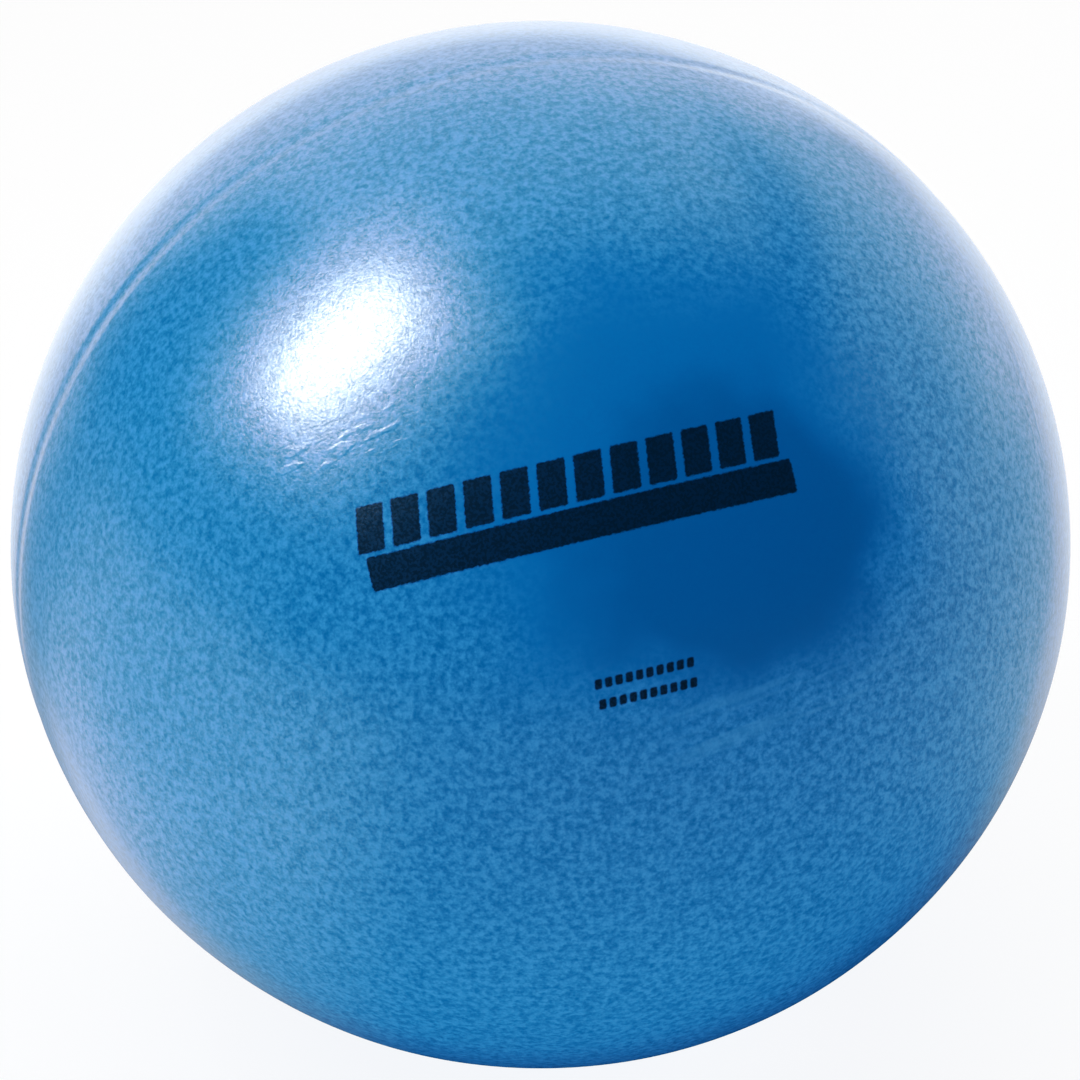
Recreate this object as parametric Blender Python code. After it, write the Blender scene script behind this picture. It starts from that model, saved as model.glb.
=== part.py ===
"""A soft inflatable pilates ball with a push-in valve, standing on a level surface.

+Z is up and the origin is the centre of the round patch that the ball rests on. The mould's parting plane is the
upright XZ plane through the ball's centre, -Y is the front, and the valve sits at the rear, on the +Y pole.
"""

import math

import bmesh
import bpy

# Driving dimensions, in metres
# The skin, as it is moulded and blown up
BALL_DIAMETER = 0.300
SKIN_WALL = 0.0009
SEAM_DEPTH = 0.00035  # the seam stretches less than the skin beside it, so it lies in a shallow valley
SEAM_WIDTH = 0.0100

# How the blown-up ball settles under its own weight
SAG = 0.0046  # how much less it measures upright than across
CONTACT_RADIUS = 0.020

# The seat that is fused into the skin round the filling hole
SEAT_RIM_WIDTH = 0.0022  # the ring that shows round the plug's head
SEAT_FLANGE_REACH = 0.0040  # how far the flange runs under the skin, past that ring
SEAT_FLANGE_THICKNESS = 0.0012
SEAT_TUBE_WALL = 0.0024
SEAT_LENGTH = 0.0120
LIP_LENGTH = 0.0014

# The push-in plug
HEAD_RADIUS = 0.0055
HEAD_THICKNESS = 0.0012
HEAD_PROUD = 0.0005  # how far the head stands out, for a fingernail to catch
STEM_RADIUS = 0.0025
STEM_PAST_LIP = 0.0005  # how far the stem runs on below the seat at its full thickness
TIP_LENGTH = 0.0030
TIP_RADIUS = 0.0012
BARB_HEIGHT = 0.0004
BARB_COUNT = 3
BARB_SHARE = 0.75  # how much of its pitch each barb takes up, with plain stem for the rest

# Fits and small edges
CLEARANCE = 0.0003  # between pieces that touch
EDGE = 0.0004  # broken edges and root fillets on the valve

# How finely the round shapes are divided
BALL_SEGMENTS = 64
BALL_RINGS = 32
SEAM_STEPS = 6
PATCH_CUTS = 2
VALVE_SEGMENTS = 40
HEAD_RING_SHARES = (0.4, 0.75)  # where the rings on the plug's head lie, as shares of its radius
RING_SPACE = 1 / 3  # the least that an even ring keeps from the hole and the seam, as a share of their step
SHARP_EDGE = math.radians(30)
WELD = 0.000001

# Sizes that follow from these
BALL_RADIUS = BALL_DIAMETER / 2
HALF_WIDTH = BALL_RADIUS + SAG / 6  # with the half height, this keeps the ball's volume
HALF_HEIGHT = BALL_RADIUS - SAG / 3
CENTRE_HEIGHT = HALF_HEIGHT * math.sqrt(1 - (CONTACT_RADIUS / HALF_WIDTH) ** 2)
RECESS_RADIUS = HEAD_RADIUS + CLEARANCE
RECESS_FLOOR = HEAD_PROUD - HEAD_THICKNESS - CLEARANCE
BORE_RADIUS = STEM_RADIUS + BARB_HEIGHT + CLEARANCE
LIP_RADIUS = STEM_RADIUS + CLEARANCE
BORE_END = LIP_LENGTH + BORE_RADIUS - LIP_RADIUS - SEAT_LENGTH
SEAT_FACE_RADIUS = RECESS_RADIUS + SEAT_RIM_WIDTH
SEAT_FLANGE_RADIUS = SEAT_FACE_RADIUS + SEAT_FLANGE_REACH
VALVE_HOLE_RADIUS = SEAT_FACE_RADIUS + CLEARANCE


def material(name, colour, roughness):
    """A plain plastic of the part's own colour."""
    made = bpy.data.materials.new(name)
    made.use_nodes = True
    shader = made.node_tree.nodes["Principled BSDF"]
    shader.inputs["Base Color"].default_value = (*colour, 1.0)
    shader.inputs["Roughness"].default_value = roughness
    shader.inputs["Metallic"].default_value = 0.0
    return made


def empty(name, location):
    """A bare axis marker that pieces hang from."""
    marker = bpy.data.objects.new(name, None)
    marker.location = location
    bpy.context.collection.objects.link(marker)
    return marker


def place(name, mesh, parent, finish):
    """Put a finished mesh into the scene as one named piece, at its parent's origin."""
    data = bpy.data.meshes.new(name)
    mesh.to_mesh(data)
    mesh.free()
    data.shade_smooth()
    data.set_sharp_from_angle(angle=SHARP_EDGE)
    data.materials.append(finish)
    piece = bpy.data.objects.new(name, data)
    piece.parent = parent
    bpy.context.collection.objects.link(piece)
    return piece


def turned(profile, segments, closed=False):
    """Spin a profile, pairs of a radius and a place along Y, once round the Y axis."""
    mesh = bmesh.new()
    points = [mesh.verts.new((radius, along, 0.0)) for radius, along in profile]
    edges = [mesh.edges.new(pair) for pair in zip(points, points[1:])]
    if closed:
        edges.append(mesh.edges.new((points[-1], points[0])))
    bmesh.ops.spin(
        mesh,
        geom=points + edges,
        cent=(0.0, 0.0, 0.0),
        axis=(0.0, 1.0, 0.0),
        angle=math.tau,
        steps=segments,
        use_merge=True,
    )
    bmesh.ops.remove_doubles(mesh, verts=mesh.verts, dist=WELD)
    bmesh.ops.recalc_face_normals(mesh, faces=mesh.faces)
    return mesh


def dome(radius):
    """How far the ball's face has fallen away from its pole at this distance from the axis; it is negative."""
    return math.sqrt(BALL_RADIUS**2 - radius**2) - BALL_RADIUS


def under_skin(radius):
    """Where a piece that lies against the inside of the skin may reach, at this distance from the valve's axis."""
    return dome(radius) - SKIN_WALL - CLEARANCE


def seam_dip(from_seam):
    """How far the skin is drawn in at this distance from the seam: a raised cosine that ends level on both sides."""
    share = min(abs(from_seam) / (SEAM_WIDTH / 2), 1.0)
    return SEAM_DEPTH * (1 + math.cos(math.pi * share)) / 2


def ring_angles():
    """Angles from the valve's pole to the front pole: the hole's rim, even rings, and the seam's own fine rings."""
    rim = math.asin(VALVE_HOLE_RADIUS / BALL_RADIUS)
    half_seam = SEAM_WIDTH / 2 / BALL_RADIUS
    middle = math.pi / 2
    step = math.pi / BALL_RINGS
    space = step * RING_SPACE
    even = [step * i for i in range(1, BALL_RINGS + 1)]
    clear_of_both = [a for a in even if a > rim + space and abs(a - middle) > half_seam + space]
    seam = [middle + half_seam * (2 * i / SEAM_STEPS - 1) for i in range(SEAM_STEPS + 1)]
    return sorted([rim, *clear_of_both, *seam])


def skin_surface(radius):
    """One face of the skin, the outer or the inner, settled and resting flat, and open at the valve hole."""
    profile = []
    for angle in ring_angles():
        reach = radius - seam_dip(radius * math.cos(angle))
        profile.append((reach * math.sin(angle), reach * math.cos(angle)))
    profile[-1] = (0.0, -radius)
    mesh = turned(profile, BALL_SEGMENTS)

    # The ball spreads across and loses height, while the stiff seat keeps the hole round
    wide = HALF_WIDTH / BALL_RADIUS
    tall = HALF_HEIGHT / BALL_RADIUS
    bmesh.ops.scale(mesh, vec=(wide, wide, tall), verts=mesh.verts)
    rim = {vert for edge in mesh.edges if edge.is_boundary for vert in edge.verts}
    for vert in rim:
        turn = math.atan2(vert.co.z / tall, vert.co.x / wide)
        vert.co.x = VALVE_HOLE_RADIUS * math.cos(turn)
        vert.co.z = VALVE_HOLE_RADIUS * math.sin(turn)

    # Under the ball it lies flat: the outside on the floor, the inside one wall above it
    level = BALL_RADIUS - radius - CENTRE_HEIGHT
    cut = bmesh.ops.bisect_plane(
        mesh,
        geom=[*mesh.verts, *mesh.edges, *mesh.faces],
        dist=WELD,
        plane_co=(0.0, 0.0, level),
        plane_no=(0.0, 0.0, -1.0),
        clear_outer=True,
    )
    edges = [item for item in cut["geom_cut"] if isinstance(item, bmesh.types.BMEdge)]
    parts = bmesh.ops.subdivide_edges(mesh, edges=edges, cuts=PATCH_CUTS)["geom_split"]
    outline = [item for item in parts if isinstance(item, bmesh.types.BMEdge) and item.is_boundary]
    for vert in {vert for edge in outline for vert in edge.verts}:
        reach = radius - seam_dip(vert.co.y)
        patch_radius = wide * math.sqrt(reach**2 - (level / tall) ** 2)
        turn = math.atan2(vert.co.y, vert.co.x)
        vert.co.x = patch_radius * math.cos(turn)
        vert.co.y = patch_radius * math.sin(turn)
    bmesh.ops.edgeloop_fill(mesh, edges=outline)
    bmesh.ops.recalc_face_normals(mesh, faces=mesh.faces)
    return mesh


def ball_skin(parent, finish):
    """The hollow skin: an outer and an inner face, joined by the wall of the valve hole."""
    mesh = skin_surface(BALL_RADIUS)
    inner = skin_surface(BALL_RADIUS - SKIN_WALL)
    bmesh.ops.reverse_faces(inner, faces=inner.faces)
    inner_data = bpy.data.meshes.new("inner_face")
    inner.to_mesh(inner_data)
    inner.free()
    mesh.from_mesh(inner_data)
    bpy.data.meshes.remove(inner_data)
    rims = [edge for edge in mesh.edges if edge.is_boundary]
    bmesh.ops.bridge_loops(mesh, edges=rims)
    bmesh.ops.recalc_face_normals(mesh, faces=mesh.faces)
    return place("ball_skin", mesh, parent, finish)


def valve_seat(parent, finish):
    """The soft insert: a face level with the skin, a flange under it, and a tube that ends in a sealing lip."""
    tube = BORE_RADIUS + SEAT_TUBE_WALL
    flange_bottom = under_skin(SEAT_FLANGE_RADIUS) - SEAT_FLANGE_THICKNESS
    profile = [
        (RECESS_RADIUS, dome(RECESS_RADIUS)),
        (SEAT_FACE_RADIUS, dome(SEAT_FACE_RADIUS)),
        (SEAT_FACE_RADIUS, under_skin(SEAT_FACE_RADIUS)),
        (SEAT_FLANGE_RADIUS - EDGE, under_skin(SEAT_FLANGE_RADIUS - EDGE)),
        (SEAT_FLANGE_RADIUS, under_skin(SEAT_FLANGE_RADIUS) - EDGE),
        (SEAT_FLANGE_RADIUS, flange_bottom + EDGE),
        (SEAT_FLANGE_RADIUS - EDGE, flange_bottom),
        (tube + 2 * EDGE, flange_bottom),
        (tube, flange_bottom - 2 * EDGE),
        (tube, EDGE - SEAT_LENGTH),
        (tube - EDGE, -SEAT_LENGTH),
        (LIP_RADIUS, -SEAT_LENGTH),
        (LIP_RADIUS, LIP_LENGTH - SEAT_LENGTH),
        (BORE_RADIUS, BORE_END),
        (BORE_RADIUS, RECESS_FLOOR - EDGE),
        (BORE_RADIUS + EDGE, RECESS_FLOOR),
        (RECESS_RADIUS, RECESS_FLOOR),
    ]
    mesh = turned(profile, VALVE_SEGMENTS, closed=True)
    return place("valve_seat", mesh, parent, finish)


def valve_plug(parent, finish):
    """The stopper: a thin domed head, a stem whose barbs seal in the seat's bore, and a tapered round tip."""
    underside = HEAD_PROUD - HEAD_THICKNESS
    profile = [(0.0, HEAD_PROUD)]
    for share in HEAD_RING_SHARES:
        radius = HEAD_RADIUS * share
        profile.append((radius, HEAD_PROUD + dome(radius)))
    profile += [
        (HEAD_RADIUS - EDGE, HEAD_PROUD + dome(HEAD_RADIUS)),
        (HEAD_RADIUS, HEAD_PROUD + dome(HEAD_RADIUS) - EDGE),
        (HEAD_RADIUS, underside),
        (STEM_RADIUS + EDGE / 2, underside),
        (STEM_RADIUS, underside - EDGE),
    ]

    # The barbs share out the bore's length. Each rises in a short step and tapers off towards the tip, so
    # that the plug goes in easily and holds
    pitch = (RECESS_FLOOR - BORE_END) / (BARB_COUNT + 1)
    for number in range(BARB_COUNT):
        top = RECESS_FLOOR - (number + 0.5) * pitch
        profile += [
            (STEM_RADIUS, top),
            (STEM_RADIUS + BARB_HEIGHT, top - BARB_HEIGHT / 2),
            (STEM_RADIUS + BARB_HEIGHT, top - BARB_HEIGHT),
            (STEM_RADIUS, top - pitch * BARB_SHARE),
        ]

    shoulder = -SEAT_LENGTH - STEM_PAST_LIP
    end = shoulder - TIP_LENGTH
    profile += [
        (STEM_RADIUS, shoulder),
        (TIP_RADIUS, end + TIP_RADIUS / 3),
        (TIP_RADIUS / 2, end),
        (0.0, end),
    ]
    mesh = turned(profile, VALVE_SEGMENTS)
    return place("valve_plug", mesh, parent, finish)


def main():
    for item in list(bpy.data.objects):
        bpy.data.objects.remove(item)
    centre = empty("ball_centre", (0.0, 0.0, CENTRE_HEIGHT))
    valve = empty("valve_axis", (0.0, HALF_WIDTH, CENTRE_HEIGHT))
    ball_skin(centre, material("blue_soft_pvc", (0.010, 0.140, 0.450), 0.42))
    valve_seat(valve, material("blue_thick_pvc", (0.008, 0.110, 0.370), 0.50))
    valve_plug(valve, material("white_plug_plastic", (0.780, 0.780, 0.740), 0.45))


main()
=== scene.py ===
# %% [markdown]
# # A soft pilates ball, from faceted solids to a finished picture
#
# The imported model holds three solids: the hollow skin, the seat of the filling valve, and the plug that
# closes it. Their sizes and places are right, but their faces are flat and they have no finish. This lesson
# replaces each with a fine surface that a formula describes, gives it a material, and lights the ball.
#
# Everything is in metres. +Z is up, -Y is the front, and the valve is at the rear, on the +Y pole.

import math

import bpy
import numpy as np
from mathutils import Matrix, Vector


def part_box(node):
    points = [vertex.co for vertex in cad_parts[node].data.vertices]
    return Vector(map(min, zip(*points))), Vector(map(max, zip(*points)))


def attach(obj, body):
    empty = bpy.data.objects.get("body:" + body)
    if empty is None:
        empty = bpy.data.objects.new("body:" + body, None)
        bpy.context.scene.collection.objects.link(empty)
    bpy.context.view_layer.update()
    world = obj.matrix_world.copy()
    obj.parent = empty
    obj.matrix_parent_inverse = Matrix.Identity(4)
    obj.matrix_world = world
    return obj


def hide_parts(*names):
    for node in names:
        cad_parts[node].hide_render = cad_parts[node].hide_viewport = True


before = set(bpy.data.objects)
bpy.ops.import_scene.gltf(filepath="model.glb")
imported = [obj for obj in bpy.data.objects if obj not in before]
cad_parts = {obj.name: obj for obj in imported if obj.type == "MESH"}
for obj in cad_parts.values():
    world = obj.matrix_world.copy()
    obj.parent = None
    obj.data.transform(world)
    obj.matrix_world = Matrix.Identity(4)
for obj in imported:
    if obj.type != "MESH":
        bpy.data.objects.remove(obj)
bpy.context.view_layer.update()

# %% [markdown]
# ## What the solids measure
#
# A fine surface only fits if it starts from the part's own sizes. They could be typed in again, but the two
# would drift apart as soon as someone changes the part. So the sizes of the skin are read off its solid: the
# half width at the front pole, the centre's height from the round seat, and the wall from the two poles at
# the front.

# %% Read the skin's sizes off its solid
SAME = 0.00002  # two lengths nearer than this are one
SEAM_WIDTH = 0.0100


def points_of(mesh):
    """The corner points of a mesh, one row of x, y and z each."""
    flat = np.empty(len(mesh.vertices) * 3, dtype=np.float32)
    mesh.vertices.foreach_get("co", flat)
    return flat.reshape(-1, 3).astype(float)


seat_low, seat_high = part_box("valve_seat")
skin_low, skin_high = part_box("ball_skin")
centre_height = (seat_low.z + seat_high.z) / 2
half_width = -skin_low.y

skin_points = points_of(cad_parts["ball_skin"].data) - (0.0, 0.0, centre_height)
from_axis = np.hypot(skin_points[:, 0], skin_points[:, 2])
along_axis = skin_points[:, 1]
front_poles = along_axis[(from_axis < SAME) & (along_axis < 0)]
hole_radius = from_axis[along_axis > 0].min()

# The seam passes over the top, so the highest points lie beside its valley
beside_seam = math.cos(SEAM_WIDTH / 2 / half_width)
half_height = (skin_high.z - centre_height) / beside_seam

# A ball that sags gains in half its width half of what it loses in half its height
ball_radius = (2 * half_width + half_height) / 3
skin_wall = np.ptp(front_poles) * ball_radius / half_width
seam_depth = (half_width - skin_points[np.abs(along_axis) < SAME, 0].max()) * ball_radius / half_width
print(f"radius {ball_radius:.5f}, half width {half_width:.5f}, half height {half_height:.5f}")
print(f"centre {centre_height:.5f}, wall {skin_wall:.5f}, seam {seam_depth:.5f}, hole {hole_radius:.5f}")

# %% [markdown]
# ## One helper for every surface
#
# All three pieces are round about the valve's axis, so each is a stack of rings. Spinning an outline with
# Blender's own tools would do, but an array of rings, columns and coordinates can also be pushed about by a
# formula before it becomes a mesh, which is what the sagging skin needs.

# %% Rings into a mesh
CM3_IN_M3 = 1e6


def signed_volume(points, faces):
    """The volume inside a closed surface, negative if its faces point inwards: each triangle and the origin
    make a small pyramid, and a sixth of the triple product of its corners is that pyramid's volume."""
    corners = points[faces]
    volume = 0.0
    for last in range(2, faces.shape[1]):
        a, b, c = corners[:, 0], corners[:, last - 1], corners[:, last]
        volume += np.einsum("ij,ij->", a, np.cross(b, c)) / 6
    return volume


def ring_quads(number, joined):
    """Quads between rings of numbered points. Each takes two neighbours on a ring and the two across from
    them on the next ring. The last column meets the first, and if joined, so does the last ring."""
    here = number if joined else number[:-1]
    beyond = np.roll(number, -1, axis=0) if joined else number[1:]
    return np.stack([here, np.roll(here, -1, 1), np.roll(beyond, -1, 1), beyond], -1).reshape(-1, 4)


def pole_fans(number, start, end):
    """Triangles from the point numbered start to the first ring, and from the last ring to the point
    numbered end."""
    first, last = number[0], number[-1]
    starts = np.stack([np.full(len(first), start), np.roll(first, -1), first], -1)
    ends = np.stack([np.full(len(last), end), last, np.roll(last, -1)], -1)
    return np.vstack([starts, ends])


def ring_surface(name, rings, poles=None):
    """A closed mesh over an array of rings x columns x 3. Two pole points close its ends, or without poles
    its last ring meets its first. If its volume comes out negative, its faces are turned over."""
    count, columns = rings.shape[:2]
    number = np.arange(count * columns).reshape(count, columns)
    points = rings.reshape(-1, 3)
    quads = ring_quads(number, joined=poles is None)
    fans = np.empty((0, 3), dtype=int)
    if poles is not None:
        fans = pole_fans(number, len(points), len(points) + 1)
        points = np.vstack([points, poles])
    volume = signed_volume(points, quads) + signed_volume(points, fans)
    if volume < 0:
        quads, fans = quads[:, ::-1], fans[:, ::-1]
    mesh = bpy.data.meshes.new(name)
    mesh.from_pydata(points.tolist(), [], quads.tolist() + fans.tolist())
    mesh.shade_smooth()
    piece = bpy.data.objects.new(name, mesh)
    bpy.context.scene.collection.objects.link(piece)
    triangles = 2 * len(quads) + len(fans)
    print(f"{name}: {len(points)} points, {triangles} triangles, {abs(volume) * CM3_IN_M3:.2f} cm3")
    return piece


# %% [markdown]
# ## The skin, as one formula
#
# The real skin is a single sheet of soft PVC, cast inside a turning mould and blown up with a little air. A
# UV sphere would be round, but this ball isn't quite: it sags, it lies flat where it rests, and the mould's
# seam runs round it in a shallow valley. So the surface is a function of the tilt from the valve's pole, the
# turn round its axis and the depth under the outer face, with one term for each thing that the skin does.

# %% The terms of the formula
SEAM_SHARE = 0.65  # of the solid's seam depth: a full-depth valley catches more light than the real one
FOOT_SOFTNESS = 0.00035  # how gently the skin leaves the floor
WAVE_DEPTH = 0.00012
WAVE_LENGTHS = (0.045, 0.110)
WAVE_COUNT = 14
WAVE_CONTRAST = 1.5
WAVE_SEED = 30

chance = np.random.default_rng(WAVE_SEED)
headings = chance.normal(size=(WAVE_COUNT, 3))
headings /= np.linalg.norm(headings, axis=1, keepdims=True)
wave_numbers = headings * (math.tau / chance.uniform(*WAVE_LENGTHS, (WAVE_COUNT, 1)))
wave_starts = chance.uniform(0, math.tau, WAVE_COUNT)


def eased(value, start, end):
    """A step that starts and ends level: with s running from 0 at start to 1 at end, it is 3 s squared less
    2 s cubed."""
    s = np.clip((value - start) / (end - start), 0, 1)
    return s * s * (3 - 2 * s)


def seam_dip(from_seam):
    """How far the seam draws the skin in: a raised cosine that is level at both sides of the valley."""
    share = np.minimum(np.abs(from_seam) / (SEAM_WIDTH / 2), 1)
    return SEAM_SHARE * seam_depth * (1 + np.cos(math.pi * share)) / 2


def slack_waves(directions):
    """Slight waves in the lightly blown-up skin, from 0 to 1: the mean of a few sine waves that run in
    chance directions, squeezed by a hyperbolic tangent."""
    phases = directions @ (wave_numbers.T * ball_radius) + wave_starts
    mean = WAVE_CONTRAST * np.sin(phases).mean(axis=-1)
    return 0.5 + 0.5 * np.tanh(mean * math.sqrt(WAVE_COUNT / 2))


def rested(height):
    """Height over the floor, once the floor has pushed back: it stays 0 below the floor and as it is well
    above, and between the two a parabola joins them level."""
    rise = np.clip((height + FOOT_SOFTNESS) / (2 * FOOT_SOFTNESS), 0, 1)
    return np.where(height > FOOT_SOFTNESS, height, FOOT_SOFTNESS * rise**2)


print(f"the seam dips {seam_dip(0.0) * 1000:.2f} mm, the waves {WAVE_DEPTH * 1000:.2f} mm at most")

# %% [markdown]
# The terms come together here. The order matters: the seam and the waves change the distance from the
# centre, then the sag scales the ball across and upright, and only then does the floor flatten what is left
# below it. The stiff seat keeps the skin round about it, so the sag fades out there.

# %% The whole formula
VALVE_REACH = 0.030  # from the valve's axis to where the sag is whole


def skin_shape(depth, tilt, turn):
    """Points of the skin at a depth under its outer face. The distance from the centre is the radius less
    the depth, the seam's dip and the waves. That ray is tilted from the +Y axis and turned about it,
    stretched across and squeezed upright by the sag, and rested on the floor. Near the valve the stretch
    fades out."""
    direction = np.stack(
        [np.sin(tilt) * np.cos(turn), np.cos(tilt) + 0 * turn, np.sin(tilt) * np.sin(turn)], axis=-1
    )
    away = np.hypot(direction[..., 0], direction[..., 2]) * ball_radius
    free = np.where(direction[..., 1] > 0, eased(away, hole_radius, VALVE_REACH), 1.0)
    reach = ball_radius - depth - seam_dip((ball_radius - depth) * np.cos(tilt))
    reach = reach - WAVE_DEPTH * slack_waves(direction) * free
    wide, tall = half_width / ball_radius, half_height / ball_radius
    x = reach * direction[..., 0] * (1 + (wide - 1) * free)
    y = reach * direction[..., 1] * wide
    z = reach * direction[..., 2] * (1 + (tall - 1) * free)
    return np.stack([x, y, rested(z + centre_height - depth) + depth], axis=-1)


front_pole = skin_shape(0.0, math.pi, np.zeros(()))
print("front pole", np.round(front_pole, 5))

# %% [markdown]
# Where the rings lie decides what the mesh can show. Even rings would step across the seam's valley, so
# there they lie far closer together. The rim of the valve hole is rounded, as a cut or moulded edge always
# is a little. The inner face is never seen, so its rings are few.

# %% The outer face's rings
RING_STEP = 0.0026
SEAM_STEP = 0.0004
SEAM_FINE = 0.0060  # the fine rings reach this far to either side of the seam
RIM_EDGE = 0.0003
RIM_STEPS = 6


def spaced(start, end, step):
    """Evenly spaced tilts from start to end, about one step of arc length apart."""
    return np.linspace(start, end, max(2, 1 + round(abs(end - start) * ball_radius / step)))


half_fine = SEAM_FINE / ball_radius
middle = math.pi / 2
rounding = np.linspace(0, math.pi / 2, RIM_STEPS)
rim_out = hole_radius + RIM_EDGE * (1 - np.sin(rounding))
rim_depth = RIM_EDGE * (1 - np.cos(rounding))

front_half = spaced(math.pi - RING_STEP / ball_radius, middle + half_fine, RING_STEP)[:-1]
seam_band = spaced(middle + half_fine, middle - half_fine, SEAM_STEP)
rear_half = spaced(middle - half_fine, math.asin(rim_out[0] / ball_radius), RING_STEP)[1:-1]
outer_rim = np.arcsin(rim_out / (ball_radius - rim_depth))
outer_tilt = np.concatenate([front_half, seam_band, rear_half, outer_rim])
outer_depth = np.zeros(len(outer_tilt))
outer_depth[-len(rim_depth) :] = rim_depth
print(len(outer_tilt), "outer rings,", len(seam_band), "of them across the seam")

# %% [markdown]
# The inner face runs back from the hole to the front. One mesh over both faces gives the skin its true wall,
# and the hole shows an edge of real thickness, which a single sheet would not have.

# %% The inner face's rings, and the skin's mesh
COLUMNS = 320
INNER_STEP = 0.0120
INNER_SEAM_STEP = 0.0010

inner_rim_depth = skin_wall - rim_depth[::-1]
inner_rim = np.arcsin(rim_out[::-1] / (ball_radius - inner_rim_depth))
inner_seam = spaced(middle - half_fine, middle + half_fine, INNER_SEAM_STEP)
inner_rear = spaced(inner_rim[-1], inner_seam[0], INNER_STEP)[1:-1]
inner_front = spaced(inner_seam[-1], math.pi - INNER_STEP / ball_radius, INNER_STEP)[1:]
inner_tilt = np.concatenate([inner_rim, inner_rear, inner_seam, inner_front])
inner_depth = np.full(len(inner_tilt), skin_wall)
inner_depth[: len(inner_rim)] = inner_rim_depth

ring_tilt = np.concatenate([outer_tilt, inner_tilt])[:, None]
ring_depth = np.concatenate([outer_depth, inner_depth])[:, None]
column_turn = np.linspace(0, math.tau, COLUMNS, endpoint=False)[None, :]
skin_rings = skin_shape(ring_depth, ring_tilt, column_turn)
skin_poles = [front_pole, skin_shape(skin_wall, math.pi, np.zeros(()))]
skin = ring_surface("skin", skin_rings, skin_poles)

# %% [markdown]
# ## The printed zone's own map
#
# The print on the ball follows its face, tilted a little, and the mould was polished smooth behind it.
# Patterns there need lengths along the print's line and across it, and a flat projection would stretch them
# towards the sides. So each point gets its longitude and latitude about the print's own upright axis, times
# the radius. The polishing strokes lie askew, so they get a latitude about an axis of their own.
#
# Straight behind the print the longitude jumps from one end to the other, and a face there would show the
# whole print squeezed into a line. So both latitudes are lifted far off every pattern there.

# %% A map along the skin, in metres
PRINT_MIDDLE = (-0.1785, -0.8419, 0.5087)  # the way from the ball's centre to the print's middle
PRINT_LINE = (0.9657, -0.1576, 0.2061)  # the way along the print
STROKES_AXIS = (-0.2167, 0.5119, 0.8315)  # the strokes run round this axis
BEHIND_FROM, BEHIND_TO = 2.0, 2.6  # longitudes, in radians
LIFT = 1.0

face_axis = np.array(PRINT_MIDDLE) / np.linalg.norm(PRINT_MIDDLE)
side_axis = np.array(PRINT_LINE) - np.dot(PRINT_LINE, face_axis) * face_axis
side_axis /= np.linalg.norm(side_axis)
up_axis = np.cross(face_axis, side_axis)
strokes_axis = np.array(STROKES_AXIS) / np.linalg.norm(STROKES_AXIS)


def print_map(points):
    """Longitude and latitude about the print's axis, and latitude about the strokes' axis, each times the
    ball's radius. Behind the print, both latitudes gain the lift."""
    rays = points - (0.0, 0.0, centre_height)
    rays = rays / np.linalg.norm(rays, axis=-1, keepdims=True)
    longitude = np.arctan2(rays @ side_axis, rays @ face_axis)
    latitude = np.arcsin(np.clip(rays @ up_axis, -1, 1))
    stroke_latitude = np.arcsin(np.clip(rays @ strokes_axis, -1, 1))
    lift = LIFT * eased(np.abs(longitude), BEHIND_FROM, BEHIND_TO)
    angles = np.stack([longitude, latitude, stroke_latitude], axis=-1)
    return angles * ball_radius + lift[..., None] * (0.0, 1.0, 1.0)


along_skin = skin.data.attributes.new("along_skin", "FLOAT_VECTOR", "POINT")
along_skin.data.foreach_set("vector", print_map(points_of(skin.data)).astype(np.float32).ravel())
print("along the print", np.round(side_axis, 3), "up it", np.round(up_axis, 3))

# %% [markdown]
# ## The valve's seat
#
# The seat is a soft insert, thicker than the skin and fused into it: a ring that shows, a recess for the
# plug's head, a flange under the skin, and a tube that ends in a sealing lip. Its outline goes once round
# the section. A soft moulding has no sharp corner. A Bevel modifier could soften them, but a curve in each
# corner of the outline gives cleaner rings.

# %% Outlines with softened corners
CLEARANCE = 0.0003
VALVE_COLUMNS = 96
CORNER_STEPS = 6


def dome(radius):
    """How far the ball's face falls away from its pole at this distance from the axis."""
    return np.sqrt(ball_radius**2 - np.square(radius)) - ball_radius


def under_skin(radius):
    """Where a piece against the skin's inside may reach."""
    return dome(radius) - skin_wall - CLEARANCE


def softened(corners, closed):
    """An outline with a curve in each corner, given rows of radius, place and how far from it the curve
    starts. Between a point A before the corner C and a point B after it, the curve is (1-s)^2 A + 2 s (1-s)
    C + s^2 B."""
    table = np.array(corners, dtype=float)
    corner, start = table[:, :2], table[:, 2:]
    before, after = np.roll(corner, 1, axis=0) - corner, np.roll(corner, -1, axis=0) - corner
    a = corner + before / np.linalg.norm(before, axis=1, keepdims=True) * start
    b = corner + after / np.linalg.norm(after, axis=1, keepdims=True) * start
    s = np.linspace(0, 1, CORNER_STEPS)[None, :, None]
    curves = (1 - s) ** 2 * a[:, None] + 2 * s * (1 - s) * corner[:, None] + s**2 * b[:, None]
    if not closed:
        curves = curves[1:-1]
    return curves.reshape(-1, 2)


def turned_rings(outline):
    """The rings of an outline of radius and place, turned about the valve's axis at the rear pole."""
    radius, place = outline[:, :1], outline[:, 1:]
    turn = np.linspace(0, math.tau, VALVE_COLUMNS, endpoint=False)[None, :]
    x = radius * np.cos(turn)
    z = radius * np.sin(turn) + centre_height
    return np.stack([x, place + half_width + 0 * turn, z], axis=-1)


print(f"fall at the hole's edge {-dome(hole_radius) * 1000:.3f} mm")

# %% [markdown]
# The plug's sizes come first, since the seat is made to fit it: the bore clears the barbs, the lip closes
# round the stem, and the recess takes the head. Places along the axis count from the rear pole, and are
# negative inwards.

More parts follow.
